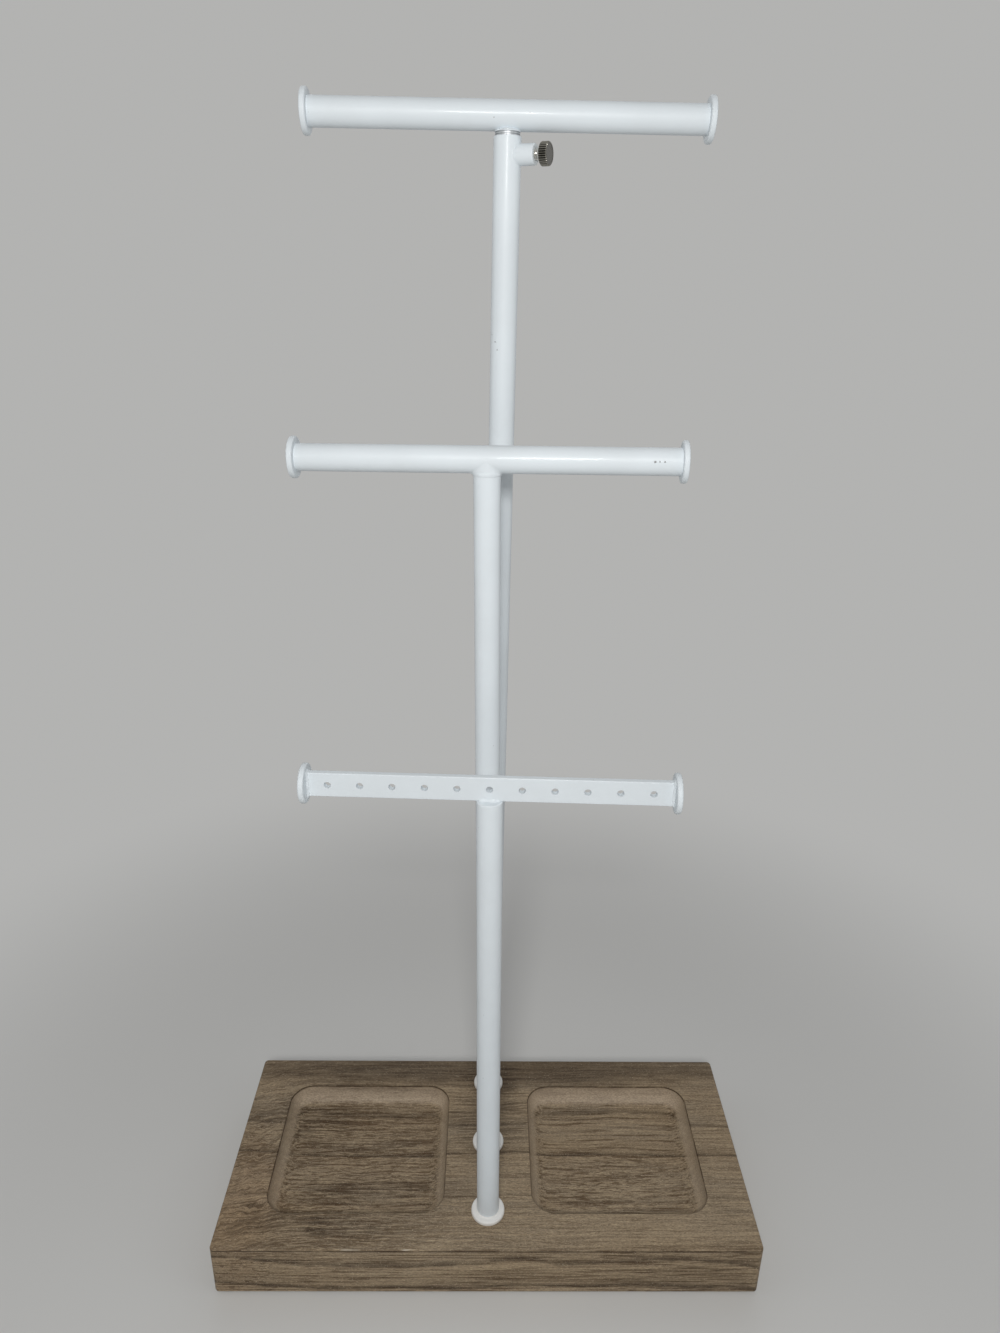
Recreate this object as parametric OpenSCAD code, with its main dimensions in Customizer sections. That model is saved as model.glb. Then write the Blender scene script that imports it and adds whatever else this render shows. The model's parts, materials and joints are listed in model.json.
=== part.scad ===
// Three-tier jewellery stand. A solid wooden base with two routed trays carries three round
// steel posts in a row from front to back. The front post holds a flat bar drilled for earring
// hooks, the middle post a round bar, and the rear post is a sleeve from which the top T-bar
// slides up and turns, held by a thumb screw. Millimetres, +Z up, the front faces -Y, and the
// origin lies under the middle of the base on the surface that the stand rests on.

/* [Base] */
// Width of the wooden base, left to right
base_w = 250; // [220:1:320]
// Depth of the wooden base, front to back
base_d = 110; // [104:1:160]
// Thickness of the wooden base
base_t = 28; // [26:0.5:36]
// Radius of the base's four upright corners, seen from above
base_corner_r = 2; // [1.5:0.5:12]
// Radius that softens the base's long edges, top and bottom
base_edge_r = 0.8; // [0.3:0.1:1.2]

/* [Trays] */
// Wood left between the two trays, where the posts stand
tray_gap = 42; // [30:1:60]
// Wood left outside each tray, at the ends of the base
tray_side_margin = 20; // [10:1:30]
// Wood left in front of the trays and behind them
tray_end_margin = 18; // [8:1:26]
// Depth of the trays below the top of the base
tray_depth = 10; // [8:0.5:15]
// Radius of the trays' corners, seen from above
tray_corner_r = 11; // [10:0.5:18]
// Radius of the hollow between a tray's walls and its floor
tray_cove_r = 9.5; // [4:0.5:10]
// Radius that softens the tray's rim
tray_rim_r = 0.7; // [0.3:0.1:1.2]

/* [Posts] */
// Outside diameter of the posts and of the round bars, paint included
tube_d = 10.2; // [9.2:0.1:12]
// Wall of the posts and of the round bars
tube_wall = 1.1; // [0.8:0.1:1.6]
// Wall of the rear post, thinner because the stem runs inside it
sleeve_wall = 0.5; // [0.4:0.1:0.9]
// Distance between the posts along the row
post_pitch = 37.5; // [28:0.5:40]
// Distance of the middle post behind the middle of the base
post_row_y = 1.5; // [-3:0.5:3]
// Diameter of the flange at the foot of each post
flange_d = 15.5; // [14.5:0.5:20]
// Thickness of that flange
flange_t = 2; // [1.2:0.1:3]
// Radius that softens the flange's upper edge
flange_round = 0.9; // [0.3:0.1:1.1]

/* [Bars] */
// Height of the earring bar's middle above the base
earring_bar_h = 225; // [120:5:300]
// Height from one bar up to the next
tier_pitch = 116.5; // [80:0.5:160]
// Length of the earring bar over its end discs
earring_bar_len = 143; // [134:1:200]
// Length of the middle bar over its end discs
middle_bar_len = 146.5; // [60:0.5:200]
// Length of the top bar over its end discs
top_bar_len = 148; // [60:1:200]
// Height of the flat earring bar
strip_h = 10; // [7:0.5:12]
// Thickness of the flat earring bar
strip_t = 2.5; // [2:0.1:4]
// Diameter of the holes for earring hooks
hook_hole_d = 2.7; // [1.5:0.1:4]
// Number of those holes
hook_hole_count = 11; // [3:2:11]
// Distance between those holes
hook_hole_pitch = 12.3; // [6:0.1:12.5]
// Diameter of the discs on the bars' ends
cap_d = 15.5; // [14.5:0.5:20]
// Thickness of those discs
cap_t = 2.2; // [1.5:0.1:4]
// Radius that softens both edges of a disc
cap_round = 0.7; // [0.2:0.1:0.7]

/* [Stance] */
// Lean of the front post to the right, in degrees
front_lean = -0.4; // [-1:0.05:1]
// Lean of the middle post to the right, in degrees
middle_lean = -0.65; // [-1:0.05:1]
// Lean of the rear post to the right, in degrees
rear_lean = 0.3; // [-1:0.05:1]
// Turn of the earring bar, in degrees: below 0 its right end comes forward
earring_turn = -3; // [-10:0.5:10]
// Turn of the middle bar, in degrees: below 0 its right end comes forward
middle_turn = -4; // [-10:0.5:10]
// Turn of the top bar as it is stored, in degrees: below 0 its right end comes forward
top_turn = -1; // [-10:0.5:10]

/* [Telescoping top] */
// Bare stem that shows between the rear post and the top bar when the bar is down
stem_gap = 1.6; // [1:0.1:40]
// Length of stem inside the rear post when the bar is down
stem_insert = 140; // [60:5:180]
// Wall of the stem
stem_wall = 0.9; // [0.6:0.1:1.5]
// Play between stem and rear post, on the radius
stem_play = 0.05; // [0.03:0.01:0.1]
// Length of the stem's welded upper end that hides inside the rear post when the bar is down
stub_sink = 2.4; // [1:0.1:3]
// Length of the spigot that joins the stem's upper end to the stem
spigot_len = 16; // [8:1:30]

/* [Clamp] */
// Turn of the thumb screw from the right side towards the front, in degrees
clamp_turn = 24.5; // [0:0.5:90]
// Distance of the thumb screw's axis below the rear post's top
clamp_drop = 6; // [5.5:0.5:20]
// Diameter of the boss that holds the thumb screw
boss_d = 7.2; // [6.6:0.1:8.8]
// Distance that the boss stands out from the rear post
boss_len = 6.2; // [4:0.1:10]
// Radius that softens the boss's outer edge
boss_round = 0.6; // [0.2:0.1:0.8]
// Thread diameter of the thumb screw
thumb_screw_d = 4; // [3:0.5:4]
// Screw neck that shows between boss and knob when the screw is clamped
knob_gap = 2.2; // [1:0.1:6]
// Diameter of the knurled knob
knob_d = 8; // [7:0.1:14]
// Thickness of the knurled knob
knob_t = 3.2; // [2.8:0.1:6]
// Number of grooves around the knob
knurl_count = 32; // [12:1:36]
// Depth of those grooves
knurl_depth = 0.4; // [0.2:0.05:0.6]

/* [Fasteners] */
// Thread diameter of the screws that hold the posts
post_screw_d = 5; // [4:0.5:5]
// Length of thread that each of them has inside its post
post_screw_grip = 9; // [6:0.5:12]
// Head diameter of those screws
screw_head_d = 9.5; // [8:0.5:10]
// Head height of those screws
screw_head_h = 3.2; // [2.5:0.1:5]
// Hexagon key size of those screws
screw_key = 3; // [2:0.5:4]
// Diameter of the washers under their heads
washer_d = 12; // [11:0.5:13]
// Thickness of the washers
washer_t = 1; // [0.6:0.1:1.6]
// Depth of the recess in the base's underside that hides each screw head
recess_depth = 13; // [8:0.5:14]
// Length of the threaded plug in the foot of each post
plug_len = 16; // [14:1:30]
// Thickness of the plug that closes the front post's top
top_plug_t = 3; // [2:0.5:8]

/* [Feet] */
// Diameter of the self-adhesive pads under the base
pad_d = 14; // [8:1:18]
// Thickness of the pads
pad_t = 1; // [1:0.1:3]
// Distance of the pads' middles from the base's sides
pad_inset = 15; // [11:1:30]

/* [Hidden] */
$fn = 96;

paint_white = "white";
steel_grey = "silver";
knob_grey = "dimgray";
wood_brown = "#8f7f6c";
pad_black = "#2a2a2a";

cut = 1;                  // how far a cutter runs past the face it opens
thread_play = 0.05;       // play between a screw and its thread, on the radius
shank_play = 0.4;         // play around a post's screw in the wood, on the radius
recess_play = 0.8;        // play around a washer in its recess, on the radius
key_depth = 0.6;          // depth of the hexagon key hole, as a share of the head's height
tip_gap = 0.3;            // distance from the thumb screw's tip to the stem
knob_seat = 2;            // length of the stud inside the knob
knob_chamfer = 0.3;       // bevel on both rims of the knob
spigot_gap = 0.1;         // gap between the stem and its upper end, along the stem
weld_r = 1.2;             // fillet beside the post where the middle bar meets it
weld_front_r = 3.2;       // the same fillet where it grows in front of the post and behind it
stem_weld_drop = 0.2;     // distance that the stem's weld reaches below the top bar
stem_weld_proud = 0.2;    // distance that this weld stands out from the stem
stem_weld_lip = 0.4;      // height of its lip
stem_weld_rise = 1.1;     // height that it gains inside the lip
stem_weld_slope = 2;      // distance inwards in which it gains that height
boss_weld_r = 0.5;        // fillet where the boss meets the rear post
weld_gap = 0.02;          // gap between a weld and the pieces it joins
boss_groove_w = 0.3;      // width of the fine groove around the boss beside the rear post
boss_groove_depth = 0.1;  // depth of that groove
boss_groove_in = 0.8;     // distance of that groove inside the post's outline
strip_weld = 0.8;         // leg of the welds at the earring bar's ends and middle
weld_toe = 0.05;          // thickness of those welds where they run out along the bar
weld_slice = 0.01;        // thickness of the slices that a weld is drawn out between
weld_fade = 14;           // angle before and behind in which the middle bar's fillet dies out
groove_share = 0.8;       // width of a groove at the knob's rim, as a share of the knurl's pitch
strip_edge_r = 0.4;       // radius on the earring bar's four long edges
post_top_r = 0.5;         // radius on the upper edge of the front post
sleeve_top_r = 0.25;      // radius on the upper edge of the rear post
weld_turns = 60;          // steps around a weld
weld_steps = 6;           // steps across a weld's hollow face

tube_r = tube_d / 2;
base_z = pad_t;
base_top = base_z + base_t;
front_y = post_row_y - post_pitch;
middle_y = post_row_y;
rear_y = post_row_y + post_pitch;

front_post_h = earring_bar_h - strip_h / 2;
middle_bar_h = earring_bar_h + tier_pitch;
top_bar_h = middle_bar_h + tier_pitch;
sleeve_h = top_bar_h - tube_r - stem_gap;
tube_bore_d = tube_d - 2 * tube_wall;
sleeve_bore_d = tube_d - 2 * sleeve_wall;

stem_d = sleeve_bore_d - 2 * stem_play;
stem_bore_d = stem_d - 2 * stem_wall;
stub_drop = tube_r + stem_gap + stub_sink;
stem_weld_foot = tube_r + stem_weld_drop;
stem_top = top_bar_h - stub_drop - spigot_gap;
stem_bottom = sleeve_h - stem_insert;
spigot_d = stem_bore_d - 2 * stem_play;

clamp_h = sleeve_h - clamp_drop;
boss_reach = tube_r + boss_len;
thumb_bore_d = thumb_screw_d + 2 * thread_play;
knob_start = boss_reach + knob_gap;
stud_tip = stem_d / 2 + tip_gap;

recess_d = washer_d + 2 * recess_play;
recess_floor = recess_depth - base_t;
plug_bore_d = post_screw_d + 2 * thread_play;

tray_w = (base_w - tray_gap) / 2 - tray_side_margin;
tray_d = base_d - 2 * tray_end_margin;
tray_x = (tray_gap + tray_w) / 2;
cove_r = min(tray_cove_r, tray_depth);

// Places its children in a post's own frame: origin on the base at the foot of the post, +Z up
// the post. The foot rests on the lower edge of its flange where the post leans.
module at_post(y, lean) {
    translate([0, y, base_top + flange_d / 2 * sin(abs(lean))]) rotate([0, lean, 0]) children();
}
module at_front_post() at_post(front_y, front_lean) children();
module at_middle_post() at_post(middle_y, middle_lean) children();
module at_rear_post() at_post(rear_y, rear_lean) children();
module at_each_post() {
    at_front_post() children();
    at_middle_post() children();
    at_rear_post() children();
}

// Frames of the three bars, with the bar along X and its axis through the origin.
module at_earring_bar()
    at_front_post() translate([0, 0, earring_bar_h]) rotate([0, 0, earring_turn]) children();
module at_middle_bar()
    at_middle_post() translate([0, 0, middle_bar_h]) rotate([0, 0, middle_turn]) children();
module at_top_bar()
    at_rear_post() translate([0, 0, top_bar_h]) rotate([0, 0, top_turn]) children();

// Frame of the thumb screw: +Z runs out along the screw from the rear post's axis.
module at_clamp()
    at_rear_post() translate([0, 0, clamp_h]) rotate([0, 90, -clamp_turn]) children();

// Cylinder along X between two places, and one that clears a post on both sides.
module rod_x(d, from, to) translate([from, 0, 0]) rotate([0, 90, 0]) cylinder(d = d, h = to - from);
module long_rod_x(d) rod_x(d, -tube_d, tube_d);

module tube(outer, inner, h) difference() {
    cylinder(d = outer, h = h);
    translate([0, 0, -cut]) cylinder(d = inner, h = h + 2 * cut);
}

// Section of a tube wall or disc from one radius to another, with its upper outer edge rounded.
// The rounding takes half of the wall at most, so it never reaches into the bore.
module soft_topped_section(inner_r, outer_r, h, soft) {
    wall = outer_r - inner_r;
    r = min(soft, wall / 2);
    translate([inner_r, 0]) square([wall, h - r]);
    translate([inner_r, 0]) square([wall - r, h]);
    translate([outer_r - r, h - r]) circle(r = r);
}

module soft_topped_tube(outer, inner, h, soft)
    rotate_extrude() soft_topped_section(inner / 2, outer / 2, h, soft);

// Runs an edge section around a rounded rectangle. The section's x is counted from the centre
// of the corner radius outwards and its y is the height.
module around_rectangle(w, d, r) {
    for (side = [0:3]) {
        half_x = (side % 2 == 0 ? w : d) / 2 - r;
        half_y = (side % 2 == 0 ? d : w) / 2 - r;
        rotate([0, 0, 90 * side]) translate([half_x, half_y, 0]) {
            rotate([90, 0, 0]) linear_extrude(2 * half_y) children();
            rotate_extrude(angle = 90) children();
        }
    }
}

// ---- Base ----

module board_edge_section() {
    translate([0, base_edge_r]) square([base_corner_r, base_t - 2 * base_edge_r]);
    square([base_corner_r - base_edge_r, base_t]);
    for (y = [base_edge_r, base_t - base_edge_r])
        translate([base_corner_r - base_edge_r, y]) circle(r = base_edge_r);
}

module board_blank() {
    around_rectangle(base_w, base_d, base_corner_r) board_edge_section();
    inner_w = base_w - 2 * base_corner_r;
    inner_d = base_d - 2 * base_corner_r;
    translate([-inner_w / 2, -inner_d / 2, 0]) cube([inner_w, inner_d, base_t]);
}

// Section of a tray's wall: hollow at the floor, upright above it and flared at the rim.
module tray_wall_section() {
    translate([0, -tray_depth]) square([tray_corner_r - cove_r, tray_depth + cut]);
    translate([0, cove_r - tray_depth]) square([tray_corner_r, tray_depth - cove_r + cut]);
    translate([tray_corner_r - cove_r, cove_r - tray_depth]) intersection() {
        circle(r = cove_r);
        translate([0, -cove_r]) square([cove_r, cove_r]);
    }
    difference() {
        translate([tray_corner_r - cut / 2, -tray_rim_r]) square([tray_rim_r + cut / 2, tray_rim_r + cut]);
        translate([tray_corner_r + tray_rim_r, -tray_rim_r]) circle(r = tray_rim_r);
    }
}

module tray_cutter() {
    around_rectangle(tray_w, tray_d, tray_corner_r) tray_wall_section();
    inner_w = tray_w - 2 * tray_corner_r;
    inner_d = tray_d - 2 * tray_corner_r;
    translate([-inner_w / 2, -inner_d / 2, -tray_depth]) cube([inner_w, inner_d, tray_depth + cut]);
}

module base_board() color(wood_brown) difference() {
    translate([0, 0, base_z]) board_blank();
    for (side = [-1, 1]) translate([side * tray_x, 0, base_top]) tray_cutter();
    at_each_post() {
        translate([0, 0, -base_t]) cylinder(d = post_screw_d + 2 * shank_play, h = base_t + cut);
        translate([0, 0, -base_t - cut]) cylinder(d = recess_d, h = recess_depth + cut);
    }
}

module base_pads() color(pad_black)
    for (x = [-1, 1], y = [-1, 1])
        translate([x * (base_w / 2 - pad_inset), y * (base_d / 2 - pad_inset), 0])
            cylinder(d = pad_d, h = pad_t);

module post_screw() {
    head_z = recess_floor - washer_t;
    difference() {
        union() {
            translate([0, 0, head_z - screw_head_h]) cylinder(d = screw_head_d, h = screw_head_h);
            translate([0, 0, head_z]) cylinder(d = post_screw_d, h = post_screw_grip - head_z);
        }
        translate([0, 0, head_z - screw_head_h - cut])
            cylinder(d = screw_key / cos(30), h = screw_head_h * key_depth + cut, $fn = 6);
    }
}

module post_screws() color(steel_grey) at_each_post() post_screw();

module post_washers() color(steel_grey) at_each_post()
    translate([0, 0, recess_floor - washer_t]) tube(washer_d, post_screw_d + 2 * thread_play, washer_t);

// ---- Posts ----

module post_flange() soft_topped_tube(flange_d, tube_d, flange_t, flange_round);

module foot_plug(d) tube(d, plug_bore_d, plug_len);

module front_post_tube() color(paint_white) at_front_post()
    soft_topped_tube(tube_d, tube_bore_d, front_post_h, post_top_r);

module front_post_flange() color(paint_white) at_front_post() post_flange();

module front_post_foot_plug() color(steel_grey) at_front_post() foot_plug(tube_bore_d);

module front_post_top_plug() color(paint_white) at_front_post()
    translate([0, 0, front_post_h - top_plug_t]) cylinder(d = tube_bore_d, h = top_plug_t);

module middle_post_tube() color(paint_white) difference() {
    at_middle_post() tube(tube_d, tube_bore_d, middle_bar_h);
    at_middle_bar() long_rod_x(tube_d);
}

module middle_post_flange() color(paint_white) at_middle_post() post_flange();

module middle_post_foot_plug() color(steel_grey) at_middle_post() foot_plug(tube_bore_d);

module rear_post_sleeve() color(paint_white) difference() {
    at_rear_post() soft_topped_tube(tube_d, sleeve_bore_d, sleeve_h, sleeve_top_r);
    at_clamp() cylinder(d = thumb_bore_d, h = tube_d);
}

module rear_post_flange() color(paint_white) at_rear_post() post_flange();

module rear_post_foot_plug() color(steel_grey) at_rear_post() foot_plug(sleeve_bore_d);

// ---- Bars ----

// Disc on a bar's end, from its inner face outwards along +X.
module end_disc(bar_len, side) {
    mirror([side < 0 ? 1 : 0, 0, 0]) translate([bar_len / 2 - cap_t, 0, 0]) rotate([0, 90, 0])
        rotate_extrude() {
            square([cap_d / 2 - cap_round, cap_t]);
            translate([0, cap_round]) square([cap_d / 2, cap_t - 2 * cap_round]);
            for (y = [cap_round, cap_t - cap_round])
                translate([cap_d / 2 - cap_round, y]) circle(r = cap_round);
        }
}

module round_bar(bar_len) difference() {
    rod_x(tube_d, cap_t - bar_len / 2, bar_len / 2 - cap_t);
    rod_x(tube_bore_d, -bar_len / 2, bar_len / 2);
}

module strip_section() {
    square([strip_t - 2 * strip_edge_r, strip_h], center = true);
    square([strip_t, strip_h - 2 * strip_edge_r], center = true);
    for (y = [-1, 1], z = [-1, 1])
        translate([y * (strip_t / 2 - strip_edge_r), z * (strip_h / 2 - strip_edge_r)])
            circle(r = strip_edge_r);
}

module strip_blank() {
    strip_len = earring_bar_len - 2 * cap_t;
    translate([-strip_len / 2, 0, 0]) rotate([90, 0, 90]) linear_extrude(strip_len) strip_section();
}

module earring_bar() color(paint_white) at_earring_bar() difference() {
    strip_blank();
    for (i = [0:hook_hole_count - 1])
        translate([(i - (hook_hole_count - 1) / 2) * hook_hole_pitch, strip_t, 0])
            rotate([90, 0, 0]) cylinder(d = hook_hole_d, h = 2 * strip_t);
}

// Weld around the earring bar's end, thick at the disc and thin along the bar.
module strip_end_weld(side) mirror([side < 0 ? 1 : 0, 0, 0])
    translate([earring_bar_len / 2 - cap_t, 0, 0]) hull() {
        wide = [weld_slice, strip_t + 2 * strip_weld, strip_h + strip_weld];
        thin = [weld_slice, strip_t + 2 * weld_toe, strip_h + 2 * weld_toe];
        translate([-weld_slice / 2, 0, 0]) cube(wide, center = true);
        translate([-strip_weld, 0, 0]) cube(thin, center = true);
    }

// Two small fillets along the bar's lower edges, within the outline of the post's top.
module strip_foot_weld() intersection() {
    translate([0, 0, -strip_h / 2 - weld_slice]) rotate([90, 0, 90])
        linear_extrude(tube_d, center = true) polygon([
            [-strip_t / 2 - strip_weld, 0], [strip_t / 2 + strip_weld, 0],
            [strip_t / 2, strip_weld], [-strip_t / 2, strip_weld]
        ]);
    translate([0, 0, -strip_h]) cylinder(d = tube_d - 2 * post_top_r, h = strip_h);
}

module earring_bar_welds() color(paint_white) at_earring_bar() difference() {
    union() {
        strip_end_weld(-1);
        strip_end_weld(1);
        strip_foot_weld();
    }
    strip_blank();
}

module earring_bar_cap_left() color(paint_white) at_earring_bar() end_disc(earring_bar_len, -1);

module earring_bar_cap_right() color(paint_white) at_earring_bar() end_disc(earring_bar_len, 1);

module middle_bar_tube() color(paint_white) at_middle_bar() round_bar(middle_bar_len);

module middle_bar_cap_left() color(paint_white) at_middle_bar() end_disc(middle_bar_len, -1);

module middle_bar_cap_right() color(paint_white) at_middle_bar() end_disc(middle_bar_len, 1);

module top_bar_tube() color(paint_white) at_top_bar() round_bar(top_bar_len);

module top_bar_cap_left() color(paint_white) at_top_bar() end_disc(top_bar_len, -1);

module top_bar_cap_right() color(paint_white) at_top_bar() end_disc(top_bar_len, 1);

// ---- Welds between a round piece of radius r, which comes along -Z, and a tube of radius
// big_r along X. A ball of radius fillet rolls in the corner between the two, and the hollow
// face is the part of the ball between the places where it touches them. The weld is drawn a
// hair's breadth off both, so that its flat facets don't cut into their round faces. ----

function saddle_height(r, y) = sqrt(max(r * r - y * y, 0));

function weld_ball(r, big_r, fillet, turn) = [
    (r + fillet) * cos(turn),
    (r + fillet) * sin(turn),
    -saddle_height(big_r + fillet, (r + fillet) * sin(turn))
];

function weld_foot(ball, r, turn) = [r * cos(turn), r * sin(turn), ball[2]];

function weld_head(ball, big_r, fillet) = [
    ball[0], ball[1] * big_r / (big_r + fillet), ball[2] * big_r / (big_r + fillet)
];

function unit(v) = v / norm(v);

// One section of the weld: the inner corner, then the hollow face from post to tube.
function weld_section(r, big_r, fillet, turn) =
    let (
        ball = weld_ball(r, big_r, fillet, turn),
        foot = weld_foot(ball, r, turn),
        head = weld_head(ball, big_r, fillet)
    ) concat(
        [[r * cos(turn), r * sin(turn), -saddle_height(big_r, r * sin(turn))]],
        [for (i = [0:weld_steps])
            ball + fillet * unit(foot * (weld_steps - i) + head * i - ball * weld_steps)]
    );

// Joins the sections into a solid: an open run has two ends, and a full turn has none. The
// fillet grows to front_fillet towards the front and the back, where the corner is flatter.
module weld_run(r, big_r, fillet, front_fillet, from, to) {
    whole = to - from >= 360;
    rings = whole ? weld_turns : ceil(weld_turns * (to - from) / 360);
    count = weld_steps + 2;
    points = [for (k = [0:whole ? rings - 1 : rings])
        let (
            turn = from + (to - from) * k / rings,
            grown = fillet + (front_fillet - fillet) * pow(sin(turn), 2)
        ) each weld_section(r, big_r, grown, turn)];
    total = len(points);
    sides = [for (k = [0:rings - 1], i = [0:count - 1])
        let (
            a = k * count + i,
            b = k * count + (i + 1) % count,
            c = (a + count) % total,
            d = (b + count) % total
        ) each [[a, b, d], [a, d, c]]];
    ends = whole ? [] : [[for (i = [count - 1:-1:0]) i], [for (i = [0:count - 1]) rings * count + i]];
    polyhedron(points, concat(sides, ends));
}

module weld(r, big_r, fillet, front_fillet, from = 0, to = 360)
    weld_run(r + weld_gap, big_r + weld_gap, fillet, front_fillet, from, to);

// The fillet dies out where the two equal tubes run level, in front and behind.
module middle_bar_weld() color(paint_white) at_middle_bar() {
    weld(tube_r, tube_r, weld_r, weld_front_r, weld_fade - 90, 90 - weld_fade);
    weld(tube_r, tube_r, weld_r, weld_front_r, 90 + weld_fade, 270 - weld_fade);
}

// Section of the stem's weld, counted from its axis and down from the bar's: a lip with its
// lower edge rounded, and above it a slope that runs inwards into the bar.
module stem_weld_section() {
    lip_r = stem_d / 2 + stem_weld_proud;
    lip_top = stem_weld_foot - stem_weld_lip;
    translate([0, lip_top]) soft_topped_section(0, lip_r, stem_weld_lip, stem_weld_proud);
    polygon([
        [0, lip_top], [lip_r, lip_top],
        [lip_r - stem_weld_slope, lip_top - stem_weld_rise], [0, lip_top - stem_weld_rise]
    ]);
}

// The stem is cut off square, and its weld fills the room up to the bar's round underside.
module top_bar_weld() color(paint_white) at_top_bar() difference() {
    mirror([0, 0, 1]) rotate_extrude() stem_weld_section();
    long_rod_x(tube_d);
}

// ---- Telescoping stem ----

// Upper end of the stem, welded to the bar, with the spigot that joins it to the stem.
module top_bar_stub() color(steel_grey) at_top_bar() {
    translate([0, 0, -stub_drop]) cylinder(d = stem_d, h = stub_drop - stem_weld_foot);
    translate([0, 0, -stub_drop - spigot_len]) cylinder(d = spigot_d, h = spigot_len + cut);
}

module top_stem_tube() color(steel_grey) at_rear_post()
    translate([0, 0, stem_bottom]) tube(stem_d, stem_bore_d, stem_top - stem_bottom);

// ---- Clamp ----

module clamp_boss() color(paint_white) difference() {
    at_clamp() difference() {
        soft_topped_tube(boss_d, 0, boss_reach, boss_round);
        translate([0, 0, tube_r - boss_groove_in])
            tube(boss_d + 2 * cut, boss_d - 2 * boss_groove_depth, boss_groove_w);
        translate([0, 0, -cut]) cylinder(d = thumb_bore_d, h = boss_reach + 2 * cut);
    }
    at_rear_post() cylinder(d = tube_d, h = sleeve_h + tube_d);
}

module clamp_boss_weld() color(paint_white)
    at_clamp() rotate([0, 180, 0]) weld(boss_d / 2, tube_r, boss_weld_r, boss_weld_r);

module thumb_screw_stud() color(steel_grey) at_clamp()
    translate([0, 0, stud_tip]) cylinder(d = thumb_screw_d, h = knob_start + knob_seat - stud_tip);

module knob_section() polygon([
    [0, 0], [knob_d / 2 - knob_chamfer, 0], [knob_d / 2, knob_chamfer],
    [knob_d / 2, knob_t - knob_chamfer], [knob_d / 2 - knob_chamfer, knob_t], [0, knob_t]
]);

// A wedge along the knob with its point at the groove's bottom, drawn twice as wide and as deep.
module knurl_groove() {
    mouth = groove_share * PI * knob_d / knurl_count;
    translate([0, 0, -cut]) linear_extrude(knob_t + 2 * cut) polygon([
        [knob_d / 2 - knurl_depth, 0],
        [knob_d / 2 + knurl_depth, -mouth],
        [knob_d / 2 + knurl_depth, mouth]
    ]);
}

module thumb_screw_knob() color(knob_grey) at_clamp() translate([0, 0, knob_start]) difference() {
    rotate_extrude() knob_section();
    for (i = [0:knurl_count - 1]) rotate([0, 0, 360 * i / knurl_count]) knurl_groove();
    translate([0, 0, -cut]) cylinder(d = thumb_bore_d, h = knob_seat + 2 * thread_play + cut);
}

base_board();
base_pads();
post_screws();
post_washers();
front_post_tube();
front_post_flange();
front_post_foot_plug();
front_post_top_plug();
middle_post_tube();
middle_post_flange();
middle_post_foot_plug();
rear_post_sleeve();
rear_post_flange();
rear_post_foot_plug();
earring_bar();
earring_bar_welds();
earring_bar_cap_left();
earring_bar_cap_right();
middle_bar_tube();
middle_bar_weld();
middle_bar_cap_left();
middle_bar_cap_right();
top_bar_tube();
top_bar_weld();
top_bar_cap_left();
top_bar_cap_right();
top_bar_stub();
top_stem_tube();
clamp_boss();
clamp_boss_weld();
thumb_screw_stud();
thumb_screw_knob();
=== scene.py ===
# Tiered jewellery stand: white powder coated posts and bars on a weathered wooden base.
import json
import math

import bmesh
import bpy
from mathutils import Matrix, Vector, noise


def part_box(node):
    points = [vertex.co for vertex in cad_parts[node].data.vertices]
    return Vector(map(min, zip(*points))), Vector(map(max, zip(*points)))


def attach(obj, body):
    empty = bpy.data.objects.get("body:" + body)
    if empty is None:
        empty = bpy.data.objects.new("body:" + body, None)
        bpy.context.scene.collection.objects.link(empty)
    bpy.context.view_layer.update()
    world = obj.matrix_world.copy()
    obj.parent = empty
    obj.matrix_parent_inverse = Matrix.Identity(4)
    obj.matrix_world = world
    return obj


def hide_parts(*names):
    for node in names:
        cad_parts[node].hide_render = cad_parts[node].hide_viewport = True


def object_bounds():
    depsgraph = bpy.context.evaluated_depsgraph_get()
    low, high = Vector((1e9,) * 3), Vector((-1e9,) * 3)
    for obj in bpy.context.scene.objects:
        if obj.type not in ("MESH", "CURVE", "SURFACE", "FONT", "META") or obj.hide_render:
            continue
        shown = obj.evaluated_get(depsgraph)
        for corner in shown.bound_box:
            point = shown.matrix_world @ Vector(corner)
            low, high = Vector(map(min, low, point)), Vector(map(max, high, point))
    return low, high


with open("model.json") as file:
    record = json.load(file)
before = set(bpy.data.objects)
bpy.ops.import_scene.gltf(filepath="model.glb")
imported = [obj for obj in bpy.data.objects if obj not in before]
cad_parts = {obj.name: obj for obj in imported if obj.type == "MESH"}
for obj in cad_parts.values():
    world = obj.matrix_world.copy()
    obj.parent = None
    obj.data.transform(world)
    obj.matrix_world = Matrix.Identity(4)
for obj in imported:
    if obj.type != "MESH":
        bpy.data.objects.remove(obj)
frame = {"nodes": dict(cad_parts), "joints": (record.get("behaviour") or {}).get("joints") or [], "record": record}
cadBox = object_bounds()
nodes = frame["nodes"]
joints = {joint["name"]: joint for joint in frame["joints"]}
slotOf = {part["node"]: part["material_slot"] for part in frame["record"]["subparts"]}
mm = 0.001
print("frame loaded,", len(nodes), "pieces")

# Solved from the straight edges of the base, the posts and the bars.
viewpoint = {
    "place": (-0.0030, -0.3347, 0.4211),  # metres
    "pitchDown": 21.503,  # degrees
    "yawRight": 0.876,
    "roll": -0.924,
    "focalPixels": 899.06,
    "imageHeight": 1333,
    "sensor": 36.0,
}


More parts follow.
